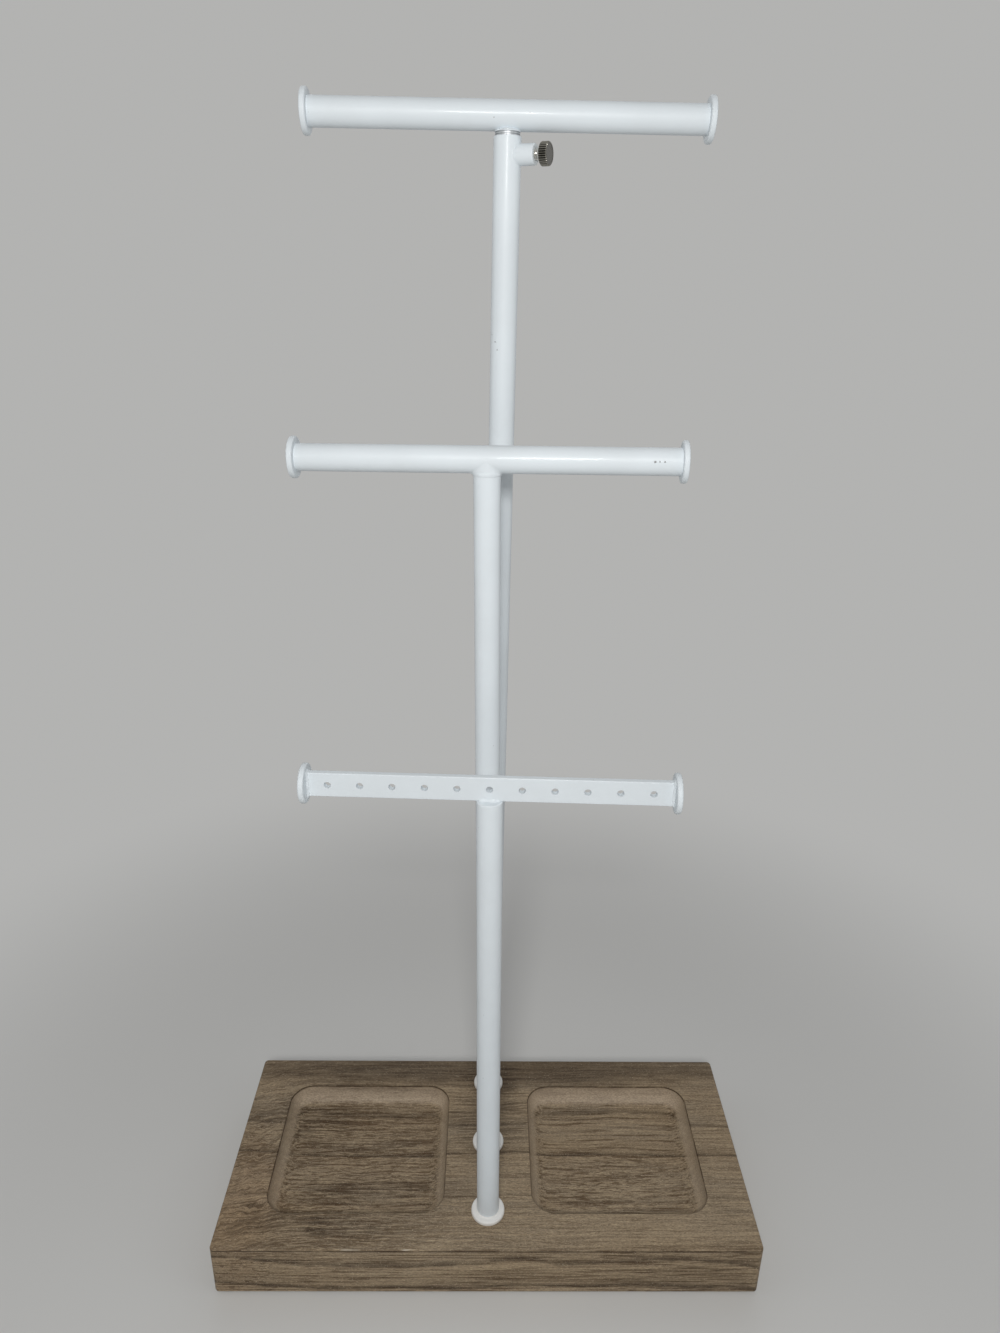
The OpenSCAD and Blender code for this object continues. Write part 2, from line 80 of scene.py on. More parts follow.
def makeCamera(v):
    data = bpy.data.cameras.new("viewpoint")
    data.sensor_width = v["sensor"]
    data.lens = v["sensor"] * v["focalPixels"] / v["imageHeight"]
    data.clip_start = 0.02
    data.clip_end = 60
    camera = bpy.data.objects.new("viewpoint", data)
    heading = Matrix.Rotation(-math.radians(v["yawRight"]), 4, "Z")
    tilt = Matrix.Rotation(math.radians(90 - v["pitchDown"]), 4, "X")
    roll = Matrix.Rotation(-math.radians(v["roll"]), 4, "Z")
    camera.matrix_world = Matrix.Translation(v["place"]) @ heading @ tilt @ roll
    bpy.context.scene.collection.objects.link(camera)
    bpy.context.scene.camera = camera


makeCamera(viewpoint)
bpy.context.scene.view_settings.view_transform = "Standard"
print("camera placed")


# Adds a node. A value in inputs that is a socket is linked, anything else is set.
def addNode(tree, kind, inputs=None, **settings):
    node = tree.nodes.new(kind)
    for name, value in settings.items():
        setattr(node, name, value)
    for key, value in (inputs or {}).items():
        if isinstance(value, bpy.types.NodeSocket):
            tree.links.new(value, node.inputs[key])
        else:
            node.inputs[key].default_value = value
    return node


def calc(tree, operation, *values):
    return addNode(tree, "ShaderNodeMath", dict(enumerate(values)), operation=operation).outputs[0]


def product(tree, *values):
    result = values[0]
    for value in values[1:]:
        result = calc(tree, "MULTIPLY", result, value)
    return result


def vectorCalc(tree, operation, *values):
    return addNode(tree, "ShaderNodeVectorMath", dict(enumerate(values)), operation=operation)


def mapLinear(tree, value, low, high):
    inputs = {"Value": value, "From Min": low, "From Max": high}
    return addNode(tree, "ShaderNodeMapRange", inputs).outputs[0]


def mapSmooth(tree, value, low, high, toLow=0.0, toHigh=1.0):
    inputs = {"Value": value, "From Min": low, "From Max": high, "To Min": toLow, "To Max": toHigh}
    return addNode(tree, "ShaderNodeMapRange", inputs, interpolation_type="SMOOTHSTEP").outputs[0]


# 1 where a value lies between two others and 0 outside, with soft ends.
def between(tree, value, low, high, soft):
    rising = mapSmooth(tree, value, low - soft, low + soft)
    return product(tree, rising, mapSmooth(tree, value, high + soft, high - soft))


def mixColour(tree, share, first, second, blend="MIX"):
    inputs = {0: share, 6: first, 7: second}
    return addNode(tree, "ShaderNodeMix", inputs, data_type="RGBA", blend_type=blend).outputs[2]


# Noise of about 0 to 1 with so many steps to a millimetre along each axis.
def stretchedNoise(tree, vector, steps, detail=2.0, roughness=0.5, seed=0.0):
    scaled = vectorCalc(tree, "MULTIPLY_ADD", vector, steps, (seed, seed * 0.7, seed * 1.3)).outputs[0]
    inputs = {"Vector": scaled, "Scale": 1.0, "Detail": detail, "Roughness": roughness}
    return addNode(tree, "ShaderNodeTexNoise", inputs).outputs[0]


# A point's place on its piece at rest, in millimetres.
def millimetres(tree):
    place = addNode(tree, "ShaderNodeTexCoord").outputs["Object"]
    return addNode(tree, "ShaderNodeVectorMath", {0: place, "Scale": 1 / mm}, operation="SCALE").outputs[0]


def bumped(tree, heightInMm):
    return addNode(tree, "ShaderNodeBump", {"Height": heightInMm, "Distance": mm}).outputs[0]


# A new material with its tree and its Principled shader.
def newFinish(name, **sockets):
    material = bpy.data.materials.new(name)
    material.use_nodes = True
    tree = material.node_tree
    tree.nodes.clear()
    plain = {key.replace("_", " "): value for key, value in sockets.items()}
    shader = addNode(tree, "ShaderNodeBsdfPrincipled", plain)
    addNode(tree, "ShaderNodeOutputMaterial", {"Surface": shader.outputs[0]})
    return material, tree, shader


def feed(tree, shader, **sockets):
    for name, value in sockets.items():
        tree.links.new(value, shader.inputs[name.replace("_", " ")])


def dress(material, slot):
    for name, node in nodes.items():
        if slotOf[name] == slot:
            node.data.materials.clear()
            node.data.materials.append(material)


# An effect that several finishes share, as a node group with its input and output nodes.
def newGroup(name, inputs, outputs):
    group = bpy.data.node_groups.new(name, "ShaderNodeTree")
    for label, kind, value in inputs:
        socket = group.interface.new_socket(name=label, in_out="INPUT", socket_type=kind)
        if value is not None:
            socket.default_value = value
    for label in outputs:
        group.interface.new_socket(name=label, in_out="OUTPUT", socket_type="NodeSocketFloat")
    return group, group.nodes.new("NodeGroupInput"), group.nodes.new("NodeGroupOutput")


def useGroup(tree, group, **inputs):
    node = tree.nodes.new("ShaderNodeGroup")
    node.node_tree = group
    for name, value in inputs.items():
        if isinstance(value, bpy.types.NodeSocket):
            tree.links.new(value, node.inputs[name])
        else:
            node.inputs[name].default_value = value
    return node


# Hairline scratches: fine noise drawn out along the stretch, as a mask.
def makeScratches():
    sockets = [
        ("Place", "NodeSocketVector", None),
        ("Stretch", "NodeSocketVector", None),
        ("Rarity", "NodeSocketFloat", 0.6),
    ]
    group, given, made = newGroup("hairlineScratches", sockets, ["Mask"])
    scaled = vectorCalc(group, "MULTIPLY", given.outputs["Place"], given.outputs["Stretch"]).outputs[0]
    noiseInputs = {"Vector": scaled, "Scale": 1.0, "Detail": 3.0, "Roughness": 0.6}
    hairs = addNode(group, "ShaderNodeTexNoise", noiseInputs).outputs[0]
    sure = calc(group, "ADD", given.outputs["Rarity"], 0.08)
    group.links.new(mapSmooth(group, hairs, given.outputs["Rarity"], sure), made.inputs["Mask"])
    return group


# Dulling that lies in broad soft patches, and a few small specks.
def makeHandling():
    sockets = [
        ("Place", "NodeSocketVector", None),
        ("Size", "NodeSocketFloat", 30.0),
        ("Speck Rarity", "NodeSocketFloat", 0.93),
    ]
    group, given, made = newGroup("handlingMarks", sockets, ["Mask", "Specks"])
    step = calc(group, "DIVIDE", 1.0, given.outputs["Size"])
    noiseInputs = {"Vector": given.outputs["Place"], "Scale": step, "Detail": 4.0, "Roughness": 0.55}
    soft = addNode(group, "ShaderNodeTexNoise", noiseInputs).outputs[0]
    dots = addNode(group, "ShaderNodeTexVoronoi", {"Vector": given.outputs["Place"], "Scale": 0.35})
    small = mapSmooth(group, dots.outputs["Distance"], 0.10, 0.06)
    chance = addNode(group, "ShaderNodeSeparateColor", {0: dots.outputs["Color"]}).outputs[0]
    rare = calc(group, "GREATER_THAN", chance, given.outputs["Speck Rarity"])
    group.links.new(mapSmooth(group, soft, 0.35, 0.65), made.inputs["Mask"])
    group.links.new(product(group, small, rare), made.inputs["Specks"])
    return group


scratches = makeScratches()
handling = makeHandling()
print("shared effects made")


def middleOf(name):
    low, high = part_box(name)
    return (low + high) / 2


# How far a piece of the frame reaches each way along a direction, counted from a point.
def reachOf(name, origin, direction):
    steps = [(vertex.co - origin).dot(direction) for vertex in nodes[name].data.vertices]
    return min(steps), max(steps)


# Two directions square to an axis, the first as level as it can be.
def squareTo(axis):
    level = axis.cross(Vector((0, 0, 1)))
    if level.length < 0.1:
        level = axis.cross(Vector((0, 1, 0)))
    level.normalize()
    return level, level.cross(axis)


# A piece skinned over rings of points. A loop of rings closes on itself, and a run has two ends.
def skinned(name, rings, loop, material, body, replaced, crease=35):
    count = len(rings[0])
    skin = bmesh.new()
    rows = [[skin.verts.new(point) for point in ring] for ring in rings]
    pairs = list(zip(rows, rows[1:]))
    if loop:
        pairs.append((rows[-1], rows[0]))
    else:
        skin.faces.new(rows[0])
        skin.faces.new(rows[-1])
    for near, far in pairs:
        for i in range(count):
            j = (i + 1) % count
            skin.faces.new((near[i], near[j], far[j], far[i]))
    bmesh.ops.recalc_face_normals(skin, faces=skin.faces)
    for face in skin.faces:
        face.smooth = True
    mesh = bpy.data.meshes.new(name)
    skin.to_mesh(mesh)
    skin.free()
    mesh.set_sharp_from_angle(angle=math.radians(crease))
    mesh.materials.append(material)
    piece = bpy.data.objects.new(name, mesh)
    bpy.context.scene.collection.objects.link(piece)
    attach(piece, body)
    if replaced:
        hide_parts(*replaced)
    return piece


# Points around an axis, at a distance that may change with the turn.
def circlePoints(centre, axis, radiusAt, count):
    level, up = squareTo(axis)
    points = []
    for k in range(count):
        turn = 2 * math.pi * k / count
        points.append(centre + radiusAt(turn) * (math.cos(turn) * level + math.sin(turn) * up))
    return points


# Points along an arc of a section.
def arcPoints(middle, radius, fromDegrees, toDegrees, steps):
    points = []
    for k in range(steps + 1):
        turn = math.radians(fromDegrees + (toDegrees - fromDegrees) * k / steps)
        points.append((middle[0] + radius * math.cos(turn), middle[1] + radius * math.sin(turn)))
    return points


screwMiddle = Vector(joints["screw_turn"]["pos_m"])
screwAxis = Vector(joints["screw_turn"]["axis"]).normalized()
screwLevel = squareTo(screwAxis)[0]


# Distance from the thumb screw's axis, and place along it, in millimetres.
def aroundScrew(tree, place):
    offset = vectorCalc(tree, "SUBTRACT", place, tuple(screwMiddle / mm)).outputs[0]
    along = vectorCalc(tree, "DOT_PRODUCT", offset, tuple(screwAxis)).outputs["Value"]
    onAxis = addNode(tree, "ShaderNodeVectorMath", {0: tuple(screwAxis), "Scale": along}, operation="SCALE")
    radial = vectorCalc(tree, "SUBTRACT", offset, onAxis.outputs[0]).outputs[0]
    return vectorCalc(tree, "LENGTH", radial).outputs["Value"], along


# The grey-brown wood of the base.
wood = {
    "light": (0.455, 0.352, 0.228, 1),
    "middle": (0.315, 0.236, 0.150, 1),
    "grey": (0.300, 0.238, 0.165, 1),
    "warm": (0.340, 0.215, 0.115, 1),
    "sandedAndLit": (0.500, 0.402, 0.300, 1),  # walls of the trays: paler wood, with painted light, most of it on the back wall
    "fleck": (0.098, 0.058, 0.029, 1),
    "dark": (0.042, 0.025, 0.014, 1),
    # pale dust specks, and the painted sparkle
    "dustAndSparkle": (0.66, 0.56, 0.42, 1),
    # The middle of the growth rings, above the back of the board, and each ring's distance
    # from it where the summer wood ends: (millimetres, darkness).
    "pith": (38.0, 52.0),
    "rings": [(34.7, 0.85), (48.9, 0.95), (70.7, 0.5), (86.0, 0.25), (98.3, 0.95), (104.3, 1.0)],
    # How a ring darkens towards its end: (millimetres from the end, share of its darkness).
    "ringFade": [(-5.0, 0.0), (-1.1, 0.25), (-0.32, 0.85), (0.0, 1.0), (0.2, 0.0)],
    # How far the rings wander along the board: (millimetres from the middle, millimetres).
    "wander": [(-125, 1.3), (-100, 0.4), (-80, -0.3), (-45, -0.7), (-5, -0.2),
               (16, 0.6), (40, 0.0), (68, 0.4), (98, 0.0), (125, -1.3)],
    "wanderSpan": 1.5,
    # Darker and paler areas of the top: (x, y, half width, half depth, darkening).
    "areas": [(-60, -44, 24, 7, 0.6), (0, 49, 140, 11, 0.4), (64, -42, 52, 13, -0.35),
              (113, -34, 8, 7, 0.4), (62, -15, 30, 12, -0.38), (-60, -17, 36, 8, 0.6),
              (-100, 20, 30, 12, 0.6), (0, 22, 20, 30, 0.8), (-60, 8, 26, 4, 0.4),
              (-100, -42, 26, 11, 0.65), (95, -55, 40, 4, 0.35)],
    "warmArea": (-116, -30, 18, 30),
    # The evenly darker strip along the back.
    "backStrip": (0, 50, 150, 14),
    # Where the flecks are coarse: (x, y, half width, half depth).
    "coarseAreas": [(-78, -12, 62, 60), (62, -14, 44, 17)],
    # The curly left end: where it starts, and how far it leans in each millimetre.
    "curlFrom": -96.0,
    "curlLean": 0.22,
    # Painted highlights on the front edge: (from, to, strength), in millimetres from the middle.
    "glints": [(-38, -33, 0.9), (-66, -58, 0.5)],
    "glintColour": (0.75, 0.68, 0.56, 1),
    # How strongly each feature mixes its colour in.
    "shares": {"fibres": 0.4, "paleStreaks": 0.7, "paleFront": 0.35, "warm": 0.35, "flecks": 0.72,
               "backStrip": 0.58, "rings": 0.9, "sparkle": 0.45, "rim": 0.85, "edgeLine": 0.85,
               "specks": 0.6, "glint": 0.9},
    # The trays, in millimetres: how far they reach past their openings, how soft that limit is,
    # and the depths over which the walls and the floors set in.
    "wallReach": 9.0,
    "wallBlur": 0.8,
    "wallFrom": (0.4, 1.6),
    "floorFrom": (7.2, 9.0),
    "bend": 2.0,  # how far the rings bend by chance, in millimetres
    "ripple": 1.0,
    "fray": 1.8,  # how ragged the outlines of the areas are
    "roughness": 0.6,
    # Relief, in millimetres.
    "poreDepth": 0.09,
    "ringDepth": 0.06,
    "streakHeight": 0.07,
    "fineHeight": 0.03,
}


# Distance from the pith, bent along the board, and how dark the rings make each place.
def growthRings(tree, place, x, y, z):
    ringsFrom, ringsTo = 10.0, 130.0
    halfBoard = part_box("base_board")[1].x / mm
    across = calc(tree, "SUBTRACT", y, wood["pith"][0])
    above = calc(tree, "SUBTRACT", z, wood["pith"][1])
    squares = calc(tree, "ADD", product(tree, across, across), product(tree, above, above))
    radius = calc(tree, "SQRT", squares)

    curve = addNode(tree, "ShaderNodeFloatCurve", {"Value": mapLinear(tree, x, -halfBoard, halfBoard)})
    points = curve.mapping.curves[0].points
    for index, (along, shift) in enumerate(wood["wander"]):
        spot = ((along + halfBoard) / (2 * halfBoard), 0.5 + shift / (2 * wood["wanderSpan"]))
        if index < 2:
            points[index].location = spot
        else:
            points.new(*spot)
    curve.mapping.update()
    wander = calc(tree, "SUBTRACT", curve.outputs[0], 0.5)
    bend = calc(tree, "SUBTRACT", stretchedNoise(tree, place, (0.022, 0.05, 0.05), 2.0, 0.5, 3.1), 0.5)
    ripple = calc(tree, "SUBTRACT", stretchedNoise(tree, place, (0.12, 0.5, 0.5), 3.0, 0.6, 8.4), 0.5)
    radius = calc(tree, "MULTIPLY_ADD", wander, 2 * wood["wanderSpan"], radius)
    radius = calc(tree, "MULTIPLY_ADD", bend, wood["bend"], radius)
    radius = calc(tree, "MULTIPLY_ADD", ripple, wood["ripple"], radius)

    ramp = addNode(tree, "ShaderNodeValToRGB", {0: mapLinear(tree, radius, ringsFrom, ringsTo)})
    stops = ramp.color_ramp.elements
    stops[0].color = stops[1].color = (0, 0, 0, 1)
    for end, darkness in wood["rings"]:
        for offset, share in wood["ringFade"]:
            stop = stops.new((end + offset - ringsFrom) / (ringsTo - ringsFrom))
            stop.color = (darkness * share,) * 3 + (1,)
    uneven = stretchedNoise(tree, place, (0.06, 0.2, 0.2), 3.0, 0.6, 5.7)
    return product(tree, ramp.outputs[0], mapSmooth(tree, uneven, 0.3, 0.62, 0.5, 1.0))


# 1 in the middle of an ellipse on the board's top and 0 outside it, with a frayed edge.
def softArea(tree, x, y, fray, middleX, middleY, halfX, halfY):
    along = calc(tree, "DIVIDE", calc(tree, "SUBTRACT", x, middleX), halfX)
    across = calc(tree, "DIVIDE", calc(tree, "SUBTRACT", y, middleY), halfY)
    squared = calc(tree, "ADD", product(tree, along, along), product(tree, across, across))
    return mapSmooth(tree, calc(tree, "ADD", squared, fray), 1.6, 0.1)


# Places along the grain. Its direction tilts slowly, and leans at the left end.
def alongGrain(tree, place, x, y, z):
    curl = calc(tree, "SUBTRACT", stretchedNoise(tree, place, (0.035, 0.05, 0.05), 1.0, 0.5, 1.9), 0.5)
    waves = calc(tree, "SUBTRACT", stretchedNoise(tree, place, (0.16, 0.16, 0.16), 2.0, 0.5, 3.7), 0.5)
    pastCurl = calc(tree, "MAXIMUM", calc(tree, "SUBTRACT", wood["curlFrom"], x), 0.0)
    leftEnd = mapSmooth(tree, pastCurl, 0.0, 12.0)
    curled = calc(tree, "MULTIPLY_ADD", curl, 3.0, y)
    curled = calc(tree, "MULTIPLY_ADD", product(tree, waves, leftEnd), 6.0, curled)
    curled = calc(tree, "MULTIPLY_ADD", pastCurl, wood["curlLean"], curled)
    return addNode(tree, "ShaderNodeCombineXYZ", {0: x, 1: curled, 2: z}).outputs[0]


# Dark pores: coarse flecks in some areas, and small ones everywhere.
def poreFlecks(tree, place, grainPlace, coarse):
    pores = stretchedNoise(tree, grainPlace, (0.2, 1.6, 1.6), 3.0, 0.66, 2.3)
    patches = stretchedNoise(tree, place, (0.025, 0.07, 0.07), 2.0, 0.5, 6.6)
    poreLevel = mapSmooth(tree, patches, 0.32, 0.68, 0.56, 0.46)
    flecks = mapSmooth(tree, calc(tree, "SUBTRACT", pores, poreLevel), 0.0, 0.07)
    smallPores = stretchedNoise(tree, grainPlace, (0.5, 2.6, 2.6), 2.0, 0.6, 7.1)
    smallFlecks = mapSmooth(tree, smallPores, 0.53, 0.63)
    flecks = product(tree, flecks, calc(tree, "MULTIPLY_ADD", coarse, 0.72, 0.28))
    return calc(tree, "MAXIMUM", flecks, product(tree, smallFlecks, 0.5))


# How much darker and how much paler the top is in its areas.
def shadedAreas(tree, x, y, fray):
    darker, paler = 0.0, 0.0
    for middleX, middleY, halfX, halfY, darkening in wood["areas"]:
        area = softArea(tree, x, y, fray, middleX, middleY, halfX, halfY)
        if darkening > 0:
            darker = calc(tree, "MULTIPLY_ADD", area, darkening, darker)
        else:
            paler = calc(tree, "MULTIPLY_ADD", area, -darkening, paler)
    return darker, paler


# Where the flecks are coarse, which they are on the top alone.
def coarsePlaces(tree, x, y, fray, frontFace):
    coarse = 0.0
    for area in wood["coarseAreas"]:
        coarse = calc(tree, "MAXIMUM", softArea(tree, x, y, fray, *area), coarse)
    return product(tree, coarse, calc(tree, "SUBTRACT", 1.0, frontFace))


# The trays' sanded walls, how far back on them a place lies (the back wall is painted lighter, as lit), their
# floors and the thin dark lines at their rims.
def trayParts(tree, place, x, y, depth):
    trayFar, trayNear = (Vector(end) / mm for end in frame["record"]["physics"]["openings"][0]["box_m"])
    reachX, reachY = wood["wallReach"] - trayFar.x, wood["wallReach"] + trayNear.y
    sideways = mapSmooth(tree, calc(tree, "ABSOLUTE", x), reachX, reachX - wood["wallBlur"])
    endways = mapSmooth(tree, calc(tree, "ABSOLUTE", y), reachY, reachY - wood["wallBlur"])
    inTrays = product(tree, sideways, endways)
    ragged = calc(tree, "SUBTRACT", stretchedNoise(tree, place, (0.25, 0.6, 0.6), 3.0, 0.65, 8.8), 0.5)
    frayedDepth = calc(tree, "MULTIPLY_ADD", ragged, 2.2, depth)
    wallEnd, floorStart = wood["floorFrom"]
    aboveFloor = mapSmooth(tree, frayedDepth, floorStart, wallEnd)
    wall = product(tree, mapSmooth(tree, depth, *wood["wallFrom"]), aboveFloor, inTrays)
    litBackWall = mapSmooth(tree, y, trayNear.y - 4.0, trayNear.y + 4.0)
    trayFloor = product(tree, mapSmooth(tree, frayedDepth, wallEnd, floorStart), inTrays)
    rimNoise = stretchedNoise(tree, place, (0.1, 0.1, 0.1), 3.0, 0.6, 6.1)
    rimBreaks = mapSmooth(tree, rimNoise, 0.35, 0.55, 0.4, 1.0)
    # A thin dark line just inside each tray's rim, broken in places.
    rim = product(tree, between(tree, depth, 0.15, 0.75, 0.12), inTrays, rimBreaks)
    return wall, litBackWall, trayFloor, rim


# A thin painted shadow line under the top edge outside, and painted highlights on the front edge.
def edgeShadowAndGlints(tree, place, x, y, depth, top):
    beyondY = mapSmooth(tree, calc(tree, "ABSOLUTE", y), top.y - 0.5, top.y - 0.2)
    beyondX = mapSmooth(tree, calc(tree, "ABSOLUTE", x), top.x - 0.5, top.x - 0.2)
    onSides = calc(tree, "MAXIMUM", beyondX, beyondY)
    broken = mapSmooth(tree, stretchedNoise(tree, place, (0.08, 0.2, 0.2), 3.0, 0.6, 2.9), 0.3, 0.5)
    edgeLine = product(tree, onSides, between(tree, depth, 0.75, 1.4, 0.2), broken)
    atFront = mapSmooth(tree, y, 0.5 - top.y, 0.3 - top.y)
    onEdge = product(tree, between(tree, depth, 0.1, 0.6, 0.12), atFront)
    glint = 0.0
    for start, end, strength in wood["glints"]:
        glint = calc(tree, "MULTIPLY_ADD", between(tree, x, start, end, 1.5), strength, glint)
    return edgeLine, product(tree, glint, onEdge, broken)


def makeWood():
    material, tree, shader = newFinish("weatheredWood", Specular_IOR_Level=0.25)
    shares = wood["shares"]
    place = millimetres(tree)
    x, y, z = addNode(tree, "ShaderNodeSeparateXYZ", {0: place}).outputs
    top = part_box("base_board")[1] / mm
    depth = calc(tree, "SUBTRACT", top.z, z)
    frontFace = mapSmooth(tree, y, 0.3 - top.y, -top.y)
    fray = calc(tree, "SUBTRACT", stretchedNoise(tree, place, (0.05, 0.3, 0.3), 3.0, 0.6, 5.2), 0.5)
    fray = product(tree, fray, wood["fray"])

    grainPlace = alongGrain(tree, place, x, y, z)
    rings = growthRings(tree, place, x, y, z)
    flecks = poreFlecks(tree, place, grainPlace, coarsePlaces(tree, x, y, fray, frontFace))
    streaks = stretchedNoise(tree, grainPlace, (0.035, 0.95, 0.95), 4.0, 0.62, 4.2)
    hairs = stretchedNoise(tree, place, (0.018, 1.9, 1.9), 3.0, 0.7, 3.3)
    fibres = stretchedNoise(tree, grainPlace, (0.02, 0.42, 0.42), 2.0, 0.5, 6.3)
    fine = stretchedNoise(tree, grainPlace, (0.9, 3.2, 3.2), 2.0, 0.6, 9.1)
    broad = stretchedNoise(tree, place, (0.012, 0.05, 0.05), 2.0, 0.5, 7.7)
    sparkle = mapSmooth(tree, stretchedNoise(tree, place, (1.9, 1.9, 1.9), 2.0, 0.6, 5.5), 0.62, 0.7)
    darker, paler = shadedAreas(tree, x, y, fray)
    warm = softArea(tree, x, y, fray, *wood["warmArea"])
    backStrip = softArea(tree, x, y, fray, *wood["backStrip"])
    wall, litBackWall, trayFloor, rim = trayParts(tree, place, x, y, depth)
    edgeLine, glint = edgeShadowAndGlints(tree, place, x, y, depth, top)

    # Pale features first, then the dark ones. The sanded walls keep little of the pattern.
    calm = calc(tree, "MULTIPLY_ADD", wall, -0.8, 1.0)
    streakShare = calc(tree, "MULTIPLY_ADD", calc(tree, "MAXIMUM", frontFace, trayFloor), 0.4, 0.35)
    colour = mixColour(tree, mapSmooth(tree, broad, 0.35, 0.65), wood["middle"], wood["grey"])
    paleFibres = product(tree, mapSmooth(tree, fibres, 0.35, 0.7), shares["fibres"])
    colour = mixColour(tree, paleFibres, colour, wood["light"])
    paleStreaks = product(tree, mapSmooth(tree, streaks, 0.5, 0.66), shares["paleStreaks"])
    colour = mixColour(tree, paleStreaks, colour, wood["light"])
    colour = mixColour(tree, product(tree, frontFace, shares["paleFront"]), colour, wood["light"])
    colour = mixColour(tree, product(tree, warm, shares["warm"]), colour, wood["warm"])
    # The walls take the paler sanded colour and the back wall nearly twice as much: painted light where it faces
    # the lamp.
    sandedAndLitShare = product(tree, wall, calc(tree, "MULTIPLY_ADD", litBackWall, 0.38, 0.42))
    colour = mixColour(tree, sandedAndLitShare, colour, wood["sandedAndLit"])
    colour = mixColour(tree, paler, colour, wood["light"])
    streaked = product(tree, mapSmooth(tree, streaks, 0.47, 0.39), calm, streakShare)
    colour = mixColour(tree, streaked, colour, wood["fleck"])
    lined = product(tree, mapSmooth(tree, hairs, 0.47, 0.40), calm)
    lined = product(tree, lined, calc(tree, "MULTIPLY_ADD", frontFace, 0.5, 0.25))
    colour = mixColour(tree, lined, colour, wood["fleck"])
    colour = mixColour(tree, product(tree, flecks, calm, shares["flecks"]), colour, wood["fleck"])
    streaksHere = mapSmooth(tree, streaks, 0.53, 0.45)
    shaded = product(tree, darker, calc(tree, "MULTIPLY_ADD", streaksHere, 0.5, 0.22), calm)
    colour = mixColour(tree, shaded, colour, wood["dark"])
    colour = mixColour(tree, product(tree, backStrip, shares["backStrip"]), colour, wood["dark"])
    colour = mixColour(tree, product(tree, rings, calm, shares["rings"]), colour, wood["dark"])
    # Painted sparkle: tiny pale specks all over the wood.
    colour = mixColour(tree, product(tree, sparkle, shares["sparkle"]), colour, wood["dustAndSparkle"])
    colour = mixColour(tree, product(tree, rim, shares["rim"]), colour, wood["dark"])
    # Painted shadow line under the top edge.
    colour = mixColour(tree, product(tree, edgeLine, shares["edgeLine"]), colour, wood["dark"])
    grain = mapSmooth(tree, fine, 0.3, 0.7, 0.76, 1.22)
    shade = addNode(tree, "ShaderNodeCombineColor", {0: grain, 1: grain, 2: grain}).outputs[0]
    colour = mixColour(tree, 1.0, colour, shade, "MULTIPLY")
    marks = useGroup(tree, handling, **{"Place": place, "Size": 45.0, "Speck Rarity": 0.9})
    specks = product(tree, marks.outputs["Specks"], shares["specks"])
    colour = mixColour(tree, specks, colour, wood["dustAndSparkle"])
    # Painted highlights on the front edge.
    colour = mixColour(tree, product(tree, glint, shares["glint"]), colour, wood["glintColour"])

    height = product(tree, flecks, -wood["poreDepth"])
    height = calc(tree, "MULTIPLY_ADD", rings, -wood["ringDepth"], height)
    height = calc(tree, "MULTIPLY_ADD", streaks, wood["streakHeight"], height)
    height = calc(tree, "MULTIPLY_ADD", fine, wood["fineHeight"], height)
    roughness = calc(tree, "MULTIPLY_ADD", marks.outputs["Mask"], 0.08, wood["roughness"])
    roughness = calc(tree, "MULTIPLY_ADD", flecks, 0.1, roughness)
    feed(tree, shader, Base_Color=colour, Roughness=roughness, Normal=bumped(tree, height))
    return material


dress(makeWood(), "weathered_wood")
print("wood done")

# The white powder coat on the posts, bars, discs, flanges and boss.
coat = {
    "white": (0.735, 0.790, 0.830, 1),
    "shade": (0.695, 0.745, 0.780, 1),
    "litFootWhite": (0.880, 0.870, 0.840, 1),  # flanges, painted lighter and less blue than the rest, as lit from above
    "footHeight": 2.4,  # millimetres above the board
    "primer": (0.16, 0.15, 0.14, 1),
    "peelSize": 1.1,  # millimetres from one dimple to the next
    "peelHeight": 0.006,
    "grainHeight": 0.002,
    "roughness": 0.36,
    # Chips that show the primer: (place in millimetres, radius).
    "chips": [((56.6, -7.8, 371.9), 0.45), ((58.3, -7.9, 372.0), 0.30), ((60.1, -8.0, 371.9), 0.36),
              ((-2.5, 36.6, 412.9), 0.28), ((-1.3, 35.1, 410.4), 0.34), ((-0.5, 34.5, 407.5), 0.24),
              ((-2.7, 34.2, 485.6), 0.22), ((10.1, 33.8, 487.1), 0.20)],
    "chipDepth": 0.08,
}


# 1 inside each chip of the coat, with a ragged outline.
def chippedPlaces(tree, place):
    ragged = calc(tree, "SUBTRACT", stretchedNoise(tree, place, (3.0, 3.0, 3.0), 2.0, 0.6, 4.4), 0.5)
    total = 0.0
    for spot, radius in coat["chips"]:
        distance = vectorCalc(tree, "DISTANCE", place, spot).outputs["Value"]
        distance = calc(tree, "MULTIPLY_ADD", ragged, 0.7, distance)
        total = calc(tree, "ADD", mapSmooth(tree, distance, radius, radius - 0.12), total)
    return total


